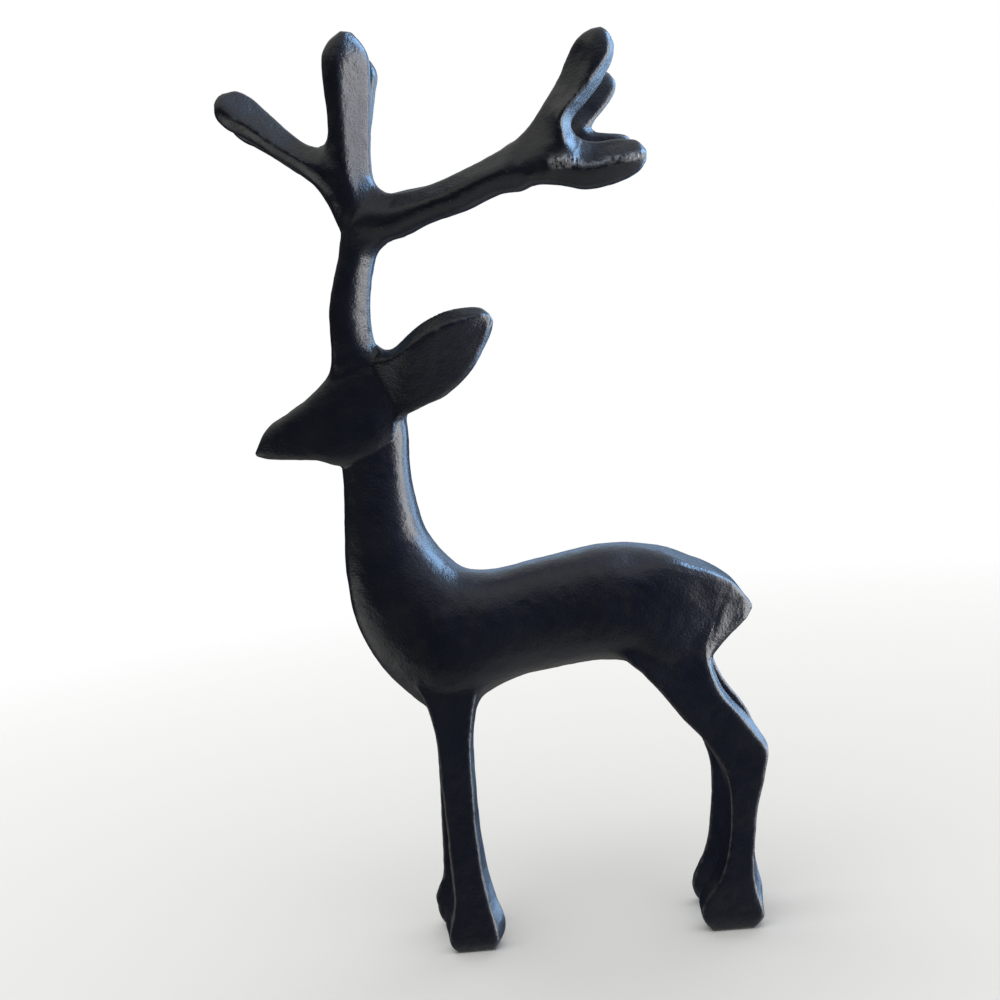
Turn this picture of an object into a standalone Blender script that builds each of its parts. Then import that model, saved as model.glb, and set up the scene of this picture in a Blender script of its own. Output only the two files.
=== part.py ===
"""A standing stag, about 320 mm tall, poured as one solid piece of cast iron.

Every limb is a loft. A row of ribs gives the limb's profile as pairs of points on its two edges, seen
from the side, with the limb's half thickness across it. A smooth curve through the ribs carries a
squared-off oval along the limb. The lofts overlap, one remesh fuses them into a single casting, and a
last cut leaves four flat soles on the ground.

The stag looks towards -X, its left side is the near one, towards -Y, and +Z is up. The right antler and
the right legs aren't exact copies of the left ones, so a rib also says how much further back or higher
the far limb has it. Sizes are in millimetres, and metre() turns them into Blender's metres.
"""

import bpy
import numpy as np

# Driving dimensions
SOLE_OVERRUN = 3.0          # how far a leg is lofted below the ground before the soles are cut flat
TRUNK_HALF_WIDTH = 17.0     # widest half width of the trunk, behind the shoulders
NECK_HALF_WIDTH = 10.0      # half thickness of the neck just under the head
HEAD_HALF_WIDTH = 11.0      # half thickness of the head at the cheeks
MUZZLE_HALF_WIDTH = 6.5     # half thickness of the head at the nose
EAR_HALF_THICKNESS = 3.2
LEG_HALF_THICKNESS = 4.6
LEG_OUTER_FACE = 16.0       # distance of the legs' outer faces from the middle plane
ANTLER_HALF_THICKNESS = 5.2
ANTLER_ROOT_SPREAD = 6.5    # distance of an antler's root from the middle plane
MIDDLE_TINE_SPREAD = 15.5   # distance of the middle tines' tips from the middle plane
REAR_TINE_SPREAD = 32.0     # distance of the rear tines' tips from the middle plane
BACKWARD_SHIFT = 3.1         # added to every X, so that nose and tail are equally far from the origin

# Fineness
RING_POINTS = 40
VOXEL = 1.4
SMOOTH_ROUNDS = 3
KEPT_SHARE = 0.088          # share of the fused mesh's faces that the simplifying keeps

IRON_COLOUR = (0.020, 0.021, 0.024, 1.0)
IRON_ROUGHNESS = 0.42
IRON_METALLIC = 0.35

NEAR = -1.0
FAR = 1.0


def metre(millimetres):
    return millimetres * 0.001


def clear_scene():
    for thing in list(bpy.data.objects):
        bpy.data.objects.remove(thing, do_unlink=True)


def smooth_rows(rows, steps):
    """Rows between the given ones, on a cubic through them whose slope at each row follows its neighbours."""
    rows = np.asarray(rows, float)
    middle = (rows[:, 0:3] + rows[:, 3:6]) / 2
    gap = np.linalg.norm(np.diff(middle, axis=0), axis=1) + 2.0
    at = np.concatenate([[0.0], np.cumsum(gap)])
    slope = np.gradient(rows, at, axis=0)
    fine = np.linspace(0.0, at[-1], steps)
    k = np.clip(np.searchsorted(at, fine, side="right") - 1, 0, len(rows) - 2)
    h = (at[k + 1] - at[k])[:, None]
    t = ((fine - at[k]) / h[:, 0])[:, None]
    start, end = rows[k], rows[k + 1]
    leave, arrive = slope[k] * h, slope[k + 1] * h
    return (
        (2 * t**3 - 3 * t**2 + 1) * start
        + (t**3 - 2 * t**2 + t) * leave
        + (3 * t**2 - 2 * t**3) * end
        + (t**3 - t**2) * arrive
    )


def unit(vectors):
    return vectors / np.maximum(np.linalg.norm(vectors, axis=-1, keepdims=True), 1e-9)


def loft(rows, steps, side=NEAR):
    """Vertices and faces of a limb.

    A row is (x1, y1, z1, x2, y2, z2, half thickness, squareness, draft 1, draft 2): two points on the
    limb's edges, half its thickness across them, the power of its squared-off oval (2 is an ellipse,
    more is squarer), and how much further its inner side reaches than its outer side at each edge.
    """
    rows = smooth_rows(rows, steps)
    first, second = rows[:, 0:3], rows[:, 3:6]
    middle, half = (first + second) / 2, (first - second) / 2
    size = np.linalg.norm(half, axis=1)
    along = unit(np.gradient(middle, axis=0))
    edge = unit(half)
    outward = unit(np.cross(along, edge))
    outward *= np.where(outward[:, 1:2] * side < 0, -1.0, 1.0)
    turn = np.linspace(0, 2 * np.pi, RING_POINTS, endpoint=False)
    cosine, sine = np.cos(turn)[None, :], np.sin(turn)[None, :]
    power = rows[:, 7:8]
    reach = (np.abs(cosine) ** power + np.abs(sine) ** power) ** (-1 / power)
    p, q = reach * cosine, reach * sine
    draft = np.where(p > 0, rows[:, 8:9], rows[:, 9:10]) * (1 - q) / 2
    points = (
        middle[:, None, :]
        + edge[:, None, :] * (p * (size[:, None] + draft))[:, :, None]
        + outward[:, None, :] * (q * rows[:, 6:7])[:, :, None]
    )
    vertices = np.concatenate([points.reshape(-1, 3), middle[:1], middle[-1:]])
    ring = np.arange(RING_POINTS)
    after = (ring + 1) % RING_POINTS
    faces = []
    for row in range(steps - 1):
        here, there = row * RING_POINTS, (row + 1) * RING_POINTS
        faces += np.stack([here + ring, here + after, there + after, there + ring], axis=1).tolist()
    last = (steps - 1) * RING_POINTS
    start_point = np.full(RING_POINTS, steps * RING_POINTS)
    faces += np.stack([after, ring, start_point], axis=1).tolist()
    faces += np.stack([last + ring, last + after, start_point + 1], axis=1).tolist()
    return vertices, facing_out(vertices, faces)


def facing_out(vertices, faces):
    """The same faces, turned round if they enclose a negative volume."""
    volume = 0.0
    for face in faces:
        a = vertices[face[0]]
        for k in range(1, len(face) - 1):
            volume += np.dot(a, np.cross(vertices[face[k]], vertices[face[k + 1]]))
    return faces if volume > 0 else [face[::-1] for face in faces]


def central_rows(profile):
    """Rows of a limb on the middle plane, from (x1, z1, x2, z2, half thickness, squareness) ribs."""
    return [(x1, 0.0, z1, x2, 0.0, z2, thick, power, 0, 0) for x1, z1, x2, z2, thick, power in profile]


def trunk():
    """Tail, rump, back and belly, round the shoulders and up the neck. Its ribs run from back to belly."""
    wide = TRUNK_HALF_WIDTH
    neck = NECK_HALF_WIDTH
    return loft(
        central_rows([
            (80.4, 111.8, 79.8, 110.2, 4.0, 4.0),
            (79.2, 114.2, 77.6, 107.8, 6.0, 4.0),
            (74.9, 120.3, 70.5, 101.9, 10.0, 4.6),
            (69.0, 125.2, 63.0, 94.8, 12.5, 4.6),
            (61.2, 129.4, 56.8, 89.8, wide - 2.5, 3.9),
            (53.2, 133.6, 47.8, 90.8, wide - 1.0, 3.2),
            (44.4, 136.4, 38.9, 95.2, wide - 0.3, 2.9),
            (34.0, 137.8, 29.3, 97.6, wide, 2.8),
            (23.4, 137.4, 20.5, 97.4, wide - 0.3, 2.7),
            (13.3, 136.1, 10.1, 96.5, wide - 0.5, 2.7),
            (3.4, 134.7, -0.6, 95.5, wide - 0.5, 2.7),
            (-6.4, 133.3, -11.1, 92.2, wide, 2.7),
            (-14.0, 133.8, -23.0, 86.6, wide, 2.7),
            (-19.4, 135.4, -35.2, 86.0, wide - 0.5, 2.7),
            (-23.2, 138.8, -43.6, 92.7, wide - 1.5, 2.7),
            (-27.5, 144.6, -52.7, 104.4, wide - 3.0, 2.7),
            (-30.9, 151.6, -58.5, 118.3, wide - 4.5, 2.7),
            (-32.4, 159.8, -60.0, 137.1, neck + 1.8, 2.8),
            (-33.1, 167.8, -58.8, 153.4, neck + 0.6, 2.8),
            (-33.0, 175.7, -57.1, 168.3, neck, 2.8),
            (-32.2, 185.3, -56.3, 179.0, neck - 0.6, 2.8),
            (-32.7, 195.0, -54.0, 188.1, neck - 1.2, 2.8),
        ]),
        150,
    )


def head():
    """A wedge-shaped slab from the cheeks to the nose. Its ribs run from the forehead to the jaw."""
    cheek = HEAD_HALF_WIDTH
    nose = MUZZLE_HALF_WIDTH
    return loft(
        central_rows([
            (-30.4, 201.0, -37.0, 182.0, cheek - 1.0, 4.0),
            (-34.3, 209.3, -43.2, 177.2, cheek, 4.5),
            (-42.9, 212.6, -49.9, 175.5, cheek, 5.0),
            (-53.5, 210.2, -57.6, 176.6, cheek - 0.5, 5.0),
            (-64.3, 202.3, -64.3, 179.3, cheek - 1.8, 5.0),
            (-73.1, 197.4, -72.0, 180.4, nose + 1.6, 4.5),
            (-80.4, 193.7, -79.0, 181.1, nose + 0.4, 4.0),
            (-83.8, 189.9, -83.5, 182.0, nose - 0.6, 3.5),
            (-86.7, 185.0, -86.2, 183.2, nose - 2.0, 3.0),
        ]),
        60,
    )


def ear(side):
    """A leaf-shaped slab whose upper edge leans outwards. Its ribs run from the upper edge to the lower."""
    thick = EAR_HALF_THICKNESS
    step = -1.5 if side == FAR else 0.0
    profile = [
        (-40.4, 7.0, 210.5, -37.4, 6.0, 190.4, thick),
        (-33.6, 11.0, 213.8, -30.9, 7.0, 191.9, thick),
        (-28.0, 14.5, 216.8, -24.2, 8.0, 194.3, thick),
        (-23.4, 16.5, 219.6, -17.5, 8.5, 196.6, thick),
        (-17.3, 17.5, 222.4, -10.5, 9.0, 201.2, thick),
        (-11.3, 17.5, 224.1, -5.3, 9.5, 206.4, thick),
        (-6.0, 16.5, 224.6, -1.4, 10.5, 212.1, thick - 0.2),
        (0.2, 14.0, 224.0, 2.1, 12.0, 217.4, thick - 0.8),
        (2.8, 13.0, 222.0, 3.2, 13.0, 220.3, thick - 1.6),
    ]
    rows = [
        (x1 + step, side * y1, z1, x2 + step, side * y2, z2, half, 5.0, 0, 0)
        for x1, y1, z1, x2, y2, z2, half in profile
    ]
    return loft(rows, 60, side)


def leg_rows(profile, side):
    """Rows of a leg from (x1, z1, x2, z2, outer face, half thickness, draft 1, draft 2, far step) ribs."""
    rows = []
    for x1, z1, x2, z2, outer, thick, draft1, draft2, far_step in profile:
        y = side * (outer - thick)
        step = far_step if side == FAR else 0.0
        rows.append((x1 + step, y, z1, x2 + step, y, z2, thick, 6.0, draft1, draft2))
    return rows


def front_leg(side):
    """A straight slab down to a flared hoof. Its ribs run from the front edge to the back edge."""
    outer, thick = LEG_OUTER_FACE, LEG_HALF_THICKNESS
    return loft(
        leg_rows([
            (-44.5, 112.0, -13.0, 112.0, outer - 4.0, thick, 0.0, 0.0, 0.0),
            (-39.8, 97.8, -15.8, 98.6, outer - 2.4, thick, 0.0, 0.0, -1.0),
            (-35.6, 87.0, -19.2, 88.2, outer - 1.2, thick, 0.2, 0.2, -2.0),
            (-34.2, 76.0, -21.9, 76.0, outer - 0.4, thick, 0.4, 0.3, -3.0),
            (-34.4, 58.5, -23.3, 58.5, outer, thick, 0.6, 0.4, -3.6),
            (-34.5, 46.5, -24.0, 46.5, outer, thick, 0.8, 0.6, -4.2),
            (-34.6, 35.5, -24.0, 35.5, outer, thick, 1.3, 0.8, -4.6),
            (-34.7, 27.0, -23.8, 27.0, outer, thick, 1.6, 1.2, -4.9),
            (-34.9, 20.5, -23.1, 20.5, outer, thick, 2.2, 2.2, -5.0),
            (-35.5, 16.2, -22.5, 16.2, outer, thick, 4.0, 2.8, -5.0),
            (-36.4, 12.8, -21.9, 12.8, outer, thick, 4.8, 2.8, -5.0),
            (-37.7, 9.4, -21.2, 9.4, outer, thick, 3.2, 2.2, -5.0),
            (-38.7, 5.8, -20.5, 5.8, outer, thick, 1.7, 1.0, -5.0),
            (-38.2, 2.6, -21.0, 2.6, outer - 0.3, thick - 0.3, 1.0, 0.6, -5.0),
            (-36.4, 0.0, -23.0, 0.0, outer - 1.2, thick - 1.2, 0.6, 0.4, -5.0),
            (-36.0, -SOLE_OVERRUN, -23.6, -SOLE_OVERRUN, outer - 1.6, thick - 1.6, 0.6, 0.4, -5.0),
        ], side),
        90,
        side,
    )


def hind_leg(side):
    """Thigh, hock and cannon in one bent slab, down to the hoof. Its ribs run from front to back."""
    outer, thick = LEG_OUTER_FACE, LEG_HALF_THICKNESS
    return loft(
        leg_rows([
            (31.0, 120.0, 70.0, 115.5, outer - 4.5, thick + 0.6, 0.0, 0.0, 0.0),
            (31.8, 109.6, 66.1, 105.4, outer - 2.6, thick + 1.0, 0.0, 0.4, 0.0),
            (33.4, 100.6, 63.3, 98.9, outer - 1.4, thick + 1.0, 0.2, 1.4, 0.0),
            (40.1, 92.9, 63.6, 89.9, outer - 0.7, thick + 0.8, 0.4, 2.4, 0.0),
            (46.6, 84.4, 66.5, 81.9, outer - 0.2, thick + 0.4, 0.6, 3.0, 0.0),
            (51.9, 76.8, 71.5, 75.1, outer, thick, 0.8, 3.0, -0.4),
            (57.3, 69.8, 76.2, 67.9, outer, thick, 1.0, 2.2, -1.0),
            (60.8, 64.2, 79.4, 62.6, outer, thick, 1.4, 0.8, -1.8),
            (63.6, 58.2, 78.2, 56.7, outer, thick, 1.7, 0.4, -2.6),
            (64.9, 51.7, 76.3, 49.9, outer, thick, 1.7, 0.3, -3.0),
            (64.7, 43.2, 73.8, 42.3, outer, thick, 1.7, 0.3, -3.4),
            (63.4, 34.4, 72.2, 33.7, outer, thick, 1.7, 0.5, -3.6),
            (61.4, 25.8, 70.7, 25.4, outer, thick, 1.9, 1.2, -3.2),
            (58.2, 18.8, 70.2, 18.4, outer, thick, 2.2, 2.4, -2.4),
            (53.8, 13.4, 70.6, 12.8, outer, thick, 1.6, 2.8, -1.6),
            (50.8, 8.2, 71.8, 7.4, outer, thick, 0.6, 1.0, -1.2),
            (51.3, 3.6, 71.8, 3.6, outer - 0.3, thick - 0.3, 0.0, 0.0, -1.2),
            (53.8, 0.0, 68.4, 0.0, outer - 1.2, thick - 1.2, 0.0, 0.0, -1.2),
            (54.2, -SOLE_OVERRUN, 67.6, -SOLE_OVERRUN, outer - 1.6, thick - 1.6, 0.0, 0.0, -1.2),
        ], side),
        120,
        side,
    )


def tine_rows(profile, side):
    """Rows of an antler's rod, whose ribs are (x1, z1, x2, z2, out, half thickness, far step, far lift).

    "out" is the rib's distance from the middle plane.
    """
    rows = []
    for x1, z1, x2, z2, out, thick, far_step, far_lift in profile:
        step, lift = (far_step, far_lift) if side == FAR else (0.0, 0.0)
        y = side * out
        rows.append((x1 + step, y, z1 + lift, x2 + step, y, z2 + lift, thick, 2.6, 0, 0))
    return rows


def middle_tine(side):
    """The antler's stem and its upright middle tine. Its ribs run from the front edge to the back edge."""
    thick = ANTLER_HALF_THICKNESS
    root = ANTLER_ROOT_SPREAD
    tip = MIDDLE_TINE_SPREAD
    return loft(
        tine_rows([
            (-53.9, 201.3, -37.3, 202.8, root - 1.0, thick - 0.4, -1.0, 0.0),
            (-54.5, 211.6, -37.9, 213.6, root - 0.6, thick, -1.5, 0.0),
            (-53.4, 219.1, -38.9, 218.6, root, thick, -2.0, 0.0),
            (-51.8, 232.0, -38.6, 230.3, root + 0.6, thick, -2.2, 0.0),
            (-48.5, 242.2, -36.5, 240.0, root + 1.2, thick, -2.4, 0.0),
            (-45.4, 251.0, -33.4, 248.7, root + 1.8, thick, -2.8, 0.0),
            (-43.9, 258.2, -31.5, 256.6, root + 2.4, thick, -3.2, 0.0),
            (-43.8, 266.9, -31.0, 265.2, root + 3.0, thick, -3.6, 0.0),
            (-44.6, 275.4, -31.5, 272.6, tip - 5.0, thick, -3.8, 0.0),
            (-44.1, 285.1, -30.7, 281.6, tip - 3.8, thick + 0.1, -3.4, 0.0),
            (-43.1, 296.4, -29.0, 292.8, tip - 2.6, thick + 0.3, -2.4, 0.0),
            (-42.8, 307.7, -27.2, 304.4, tip - 1.3, thick + 0.4, -1.4, 0.0),
            (-41.4, 314.5, -26.9, 311.8, tip - 0.5, thick, 0.0, 0.0),
            (-38.4, 318.0, -28.4, 316.1, tip - 0.1, thick - 1.4, 0.0, 0.0),
            (-34.6, 320.2, -30.8, 319.5, tip, thick - 3.2, 0.0, 0.0),
        ], side),
        90,
        side,
    )


def front_tine(side):
    """The tine over the brow. Its ribs run from the upper edge to the lower one."""
    thick = ANTLER_HALF_THICKNESS
    out = ANTLER_ROOT_SPREAD + 3.5
    return loft(
        tine_rows([
            (-32.1, 266.7, -42.9, 254.7, out - 0.5, thick - 0.2, -3.4, 0.0),
            (-40.0, 277.2, -48.1, 268.8, out, thick - 0.2, -3.0, 0.0),
            (-47.7, 283.5, -53.1, 275.2, out + 0.3, thick - 0.6, -1.5, 0.0),
            (-54.2, 288.4, -60.1, 281.5, out + 0.6, thick - 0.8, -1.0, 0.0),
            (-59.0, 293.4, -66.0, 286.3, out + 0.9, thick - 0.5, -1.0, 0.0),
            (-64.6, 299.9, -72.8, 291.6, out + 1.2, thick, -1.0, 0.0),
            (-69.4, 305.2, -78.7, 295.5, out + 1.5, thick + 0.3, -1.0, 0.0),
            (-73.9, 307.6, -81.4, 299.7, out + 1.8, thick - 0.8, -1.0, 0.0),
            (-78.0, 307.1, -81.2, 303.6, out + 2.0, thick - 2.8, -1.0, 0.0),
        ], side),
        60,
        side,
    )


def rear_tine(side):
    """The beam that sweeps back and turns up as the rear tine. Its ribs run from upper edge to lower edge."""
    thick = ANTLER_HALF_THICKNESS
    root = ANTLER_ROOT_SPREAD
    tip = REAR_TINE_SPREAD
    return loft(
        tine_rows([
            (-39.4, 264.7, -38.4, 252.1, root + 2.6, thick, -3.0, 1.5),
            (-25.2, 266.1, -25.5, 251.4, root + 5.5, thick, -2.5, 3.6),
            (-13.7, 266.5, -13.9, 254.5, root + 9.0, thick - 0.2, -1.5, 4.8),
            (-2.1, 269.0, -1.0, 256.3, root + 13.0, thick - 0.2, -0.5, 6.2),
            (9.4, 272.0, 11.1, 259.7, tip - 8.5, thick, 0.0, 7.4),
            (18.2, 275.3, 21.2, 260.3, tip - 6.0, thick, 0.0, 8.4),
            (24.8, 280.2, 36.6, 268.6, tip - 4.4, thick, 0.0, 7.6),
            (29.8, 286.3, 37.4, 277.4, tip - 3.2, thick, 0.2, 5.6),
            (34.8, 292.6, 43.6, 283.6, tip - 2.0, thick, 0.6, 3.6),
            (39.1, 299.0, 49.4, 289.4, tip - 1.0, thick + 0.3, 1.0, 2.0),
            (43.1, 303.6, 54.4, 296.8, tip - 0.4, thick - 0.2, 1.0, 1.0),
            (47.2, 305.6, 54.4, 301.2, tip, thick - 1.6, 1.0, 0.5),
            (50.0, 305.7, 52.9, 303.9, tip, thick - 3.2, 1.0, 0.5),
        ], side),
        90,
        side,
    )


def low_tine(side):
    """The short tine that runs on level from the fork. Its ribs run from the upper edge to the lower one."""
    thick = ANTLER_HALF_THICKNESS
    tip = REAR_TINE_SPREAD - 2.0
    return loft(
        tine_rows([
            (20.1, 274.4, 20.8, 261.3, tip - 4.5, thick - 0.4, 0.0, 8.4),
            (34.1, 271.3, 31.0, 259.7, tip - 2.5, thick, 0.0, 9.8),
            (43.8, 271.4, 39.2, 257.1, tip - 1.5, thick, -0.5, 10.8),
            (50.2, 271.4, 45.3, 257.1, tip - 0.8, thick + 0.3, -1.0, 11.0),
            (55.2, 270.6, 51.8, 258.1, tip - 0.3, thick, -1.0, 11.0),
            (58.6, 268.9, 58.2, 260.6, tip, thick - 1.4, -1.0, 11.0),
            (60.5, 265.8, 60.2, 262.9, tip, thick - 3.2, -1.0, 11.0),
        ], side),
        60,
        side,
    )


def all_limbs():
    paired = (front_leg, hind_leg, ear, middle_tine, front_tine, rear_tine, low_tine)
    return [trunk(), head()] + [limb(side) for limb in paired for side in (NEAR, FAR)]


def joined_mesh(name, parts):
    """One mesh that holds every limb's loft, in metres."""
    vertices, faces, start = [], [], 0
    for points, rings in parts:
        vertices += metre(points + np.array([BACKWARD_SHIFT, 0.0, 0.0])).tolist()
        faces += [[start + corner for corner in face] for face in rings]
        start += len(points)
    mesh = bpy.data.meshes.new(name)
    mesh.from_pydata(vertices, [], faces)
    mesh.validate()
    return mesh


def floor_cutter():
    """A block whose top is the ground, which takes off what a leg has below it."""
    bpy.ops.mesh.primitive_cube_add(size=1)
    cutter = bpy.context.object
    cutter.name = "ground_cutter"
    depth = 0.05
    cutter.dimensions = (0.4, 0.2, depth)
    cutter.location = (0.0, 0.0, -depth / 2)
    bpy.ops.object.transform_apply(location=True, rotation=False, scale=True)
    cutter.hide_render = True
    cutter.display_type = "WIRE"
    return cutter


def iron_material():
    material = bpy.data.materials.new("cast_iron")
    material.use_nodes = True
    shader = material.node_tree.nodes["Principled BSDF"]
    shader.inputs["Base Color"].default_value = IRON_COLOUR
    shader.inputs["Roughness"].default_value = IRON_ROUGHNESS
    shader.inputs["Metallic"].default_value = IRON_METALLIC
    return material


def cast_stag():
    """The stag's object: its lofts fused, smoothed, simplified and cut flat at the ground."""
    stag = bpy.data.objects.new("stag", joined_mesh("stag", all_limbs()))
    bpy.context.scene.collection.objects.link(stag)
    fuse = stag.modifiers.new("fuse", "REMESH")
    fuse.mode = "VOXEL"
    fuse.voxel_size = metre(VOXEL)
    soften = stag.modifiers.new("soften", "SMOOTH")
    soften.factor = 0.5
    soften.iterations = SMOOTH_ROUNDS
    simplify = stag.modifiers.new("simplify", "DECIMATE")
    simplify.ratio = KEPT_SHARE
    soles = stag.modifiers.new("soles", "BOOLEAN")
    soles.operation = "DIFFERENCE"
    soles.object = floor_cutter()
    stag.data.materials.append(iron_material())
    return stag


clear_scene()
cast_stag()
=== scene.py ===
"""The looks of a cast iron stag, about 320 mm tall: one fine casting in place of the plain solid, its black
satin paint over sand-cast grain, a pale floor, soft studio light and the camera of the photograph.

The stag looks towards -X, its left side is the near one, towards -Y, and +Z is up. Limbs are worked out in
millimetres, and metre() turns the finished casting into metres.
"""

import bpy
import mathutils
import numpy as np
import openvdb
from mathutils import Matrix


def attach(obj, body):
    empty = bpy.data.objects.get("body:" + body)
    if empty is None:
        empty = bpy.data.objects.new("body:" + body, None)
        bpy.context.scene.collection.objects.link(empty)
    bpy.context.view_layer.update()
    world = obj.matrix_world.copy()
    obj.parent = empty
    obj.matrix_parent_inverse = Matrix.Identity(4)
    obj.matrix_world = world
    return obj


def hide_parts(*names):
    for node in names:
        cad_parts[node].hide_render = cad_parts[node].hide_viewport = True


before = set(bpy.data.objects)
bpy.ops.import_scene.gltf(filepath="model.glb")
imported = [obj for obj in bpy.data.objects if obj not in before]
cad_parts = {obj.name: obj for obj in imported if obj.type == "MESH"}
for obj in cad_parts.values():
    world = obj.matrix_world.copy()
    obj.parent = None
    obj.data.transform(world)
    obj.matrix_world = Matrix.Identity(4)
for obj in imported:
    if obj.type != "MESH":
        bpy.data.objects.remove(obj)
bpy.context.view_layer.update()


# Trunk: tail, rump, back and belly, round the shoulders and up the neck, the thickest part of the pour.
# It is solid grey iron, moulded in two halves of sand that part along the stag's middle plane.
# Every other limb is lofted the same way and grows out of this one.

NEAR = -1.0
FAR = 1.0
NO_FACET = 3.0              # a facet this far out cuts nothing off a corner
RING_POINTS = 72

TRUNK_HALF_WIDTH = 17.0     # widest half width of the trunk, behind the shoulders
NECK_HALF_WIDTH = 10.0      # half thickness of the neck just under the head


def smooth_rows(rows, steps):
    """Rows between the given ribs: a cubic whose slope at each rib follows the ribs on both sides."""
    rows = np.asarray(rows, float)
    middle = (rows[:, 0:3] + rows[:, 3:6]) / 2
    gap = np.linalg.norm(np.diff(middle, axis=0), axis=1) + 2.0
    at = np.concatenate([[0.0], np.cumsum(gap)])
    slope = np.gradient(rows, at, axis=0)
    fine = np.linspace(0.0, at[-1], steps)
    k = np.clip(np.searchsorted(at, fine, side="right") - 1, 0, len(rows) - 2)
    h = (at[k + 1] - at[k])[:, None]
    t = (fine - at[k])[:, None] / h
    return (
        (2 * t**3 - 3 * t**2 + 1) * rows[k]
        + (t**3 - 2 * t**2 + t) * slope[k] * h
        + (3 * t**2 - 2 * t**3) * rows[k + 1]
        + (t**3 - t**2) * slope[k + 1] * h
    )


def unit(vectors):
    return vectors / np.maximum(np.linalg.norm(vectors, axis=-1, keepdims=True), 1e-9)


def loft(rows, steps, side=NEAR):
    """Points, quads and triangles of a limb: a rounded polygon carried along the limb's ribs.

    A row is (x1, y1, z1, x2, y2, z2, half thickness, crispness, draft 1, draft 2, facet 1, facet 2,
    inner facet 1, inner facet 2): a point on each of the limb's two edges, half its thickness across
    them, how crisp its corners are (2 is an oval), how much further its inner side reaches than its outer
    side at each edge, and the share of the half width at which the flat face ends and a slanting facet
    begins. Eight faces look outwards, an eighth of a turn apart. The section's reach at an angle is
    (the sum over the faces of (cos(angle - face) / distance) ^ crispness) ^ (-1 / crispness).
    """
    rows = smooth_rows(rows, steps)
    first, second = rows[:, 0:3], rows[:, 3:6]
    middle, half = (first + second) / 2, (first - second) / 2
    size = np.linalg.norm(half, axis=1)
    along = unit(np.gradient(middle, axis=0))
    edge = unit(half)
    outward = unit(np.cross(along, edge))
    outward *= np.where(outward[:, 1:2] * side < 0, -1.0, 1.0)

    turn = np.linspace(0, 2 * np.pi, RING_POINTS, endpoint=False)
    facing = np.maximum(np.cos(turn[:, None] - np.arange(8) * np.pi / 4), 0.0)
    distance = np.ones((steps, 8))
    distance[:, [1, 3, 7, 5]] = (1 + rows[:, 10:14]) / np.sqrt(2)
    power = rows[:, 7:8]
    reach = ((facing / distance[:, None, :]) ** power[:, :, None]).sum(axis=2) ** (-1 / power)
    p, q = reach * np.cos(turn), reach * np.sin(turn)
    p = np.where(p > 0, p / p.max(axis=1, keepdims=True), -p / p.min(axis=1, keepdims=True))
    q = np.where(q > 0, q / q.max(axis=1, keepdims=True), -q / q.min(axis=1, keepdims=True))
    draft = np.where(p > 0, rows[:, 8:9], rows[:, 9:10]) * (1 - q) / 2
    points = (
        middle[:, None, :]
        + edge[:, None, :] * (p * (size[:, None] + draft))[:, :, None]
        + outward[:, None, :] * (q * rows[:, 6:7])[:, :, None]
    )

    ring = np.arange(RING_POINTS)
    after = (ring + 1) % RING_POINTS
    start = (np.arange(steps - 1) * RING_POINTS)[:, None]
    quads = np.stack(
        [start + ring, start + after, start + after + RING_POINTS, start + ring + RING_POINTS], axis=-1
    ).reshape(-1, 4)
    last = (steps - 1) * RING_POINTS
    tip = np.full(RING_POINTS, steps * RING_POINTS)
    ends = np.concatenate([
        np.stack([after, ring, tip], axis=1),
        np.stack([last + ring, last + after, tip + 1], axis=1),
    ])
    return np.concatenate([points.reshape(-1, 3), middle[:1], middle[-1:]]), quads, ends


def central_rows(profile):
    """Rows of a limb on the middle plane, from (x1, z1, x2, z2, half thickness, crispness, facet 1) ribs."""
    return [
        (x1, 0, z1, x2, 0, z2, thick, crisp, 0, 0, facet, NO_FACET, facet, NO_FACET)
        for x1, z1, x2, z2, thick, crisp, facet in profile
    ]


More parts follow.
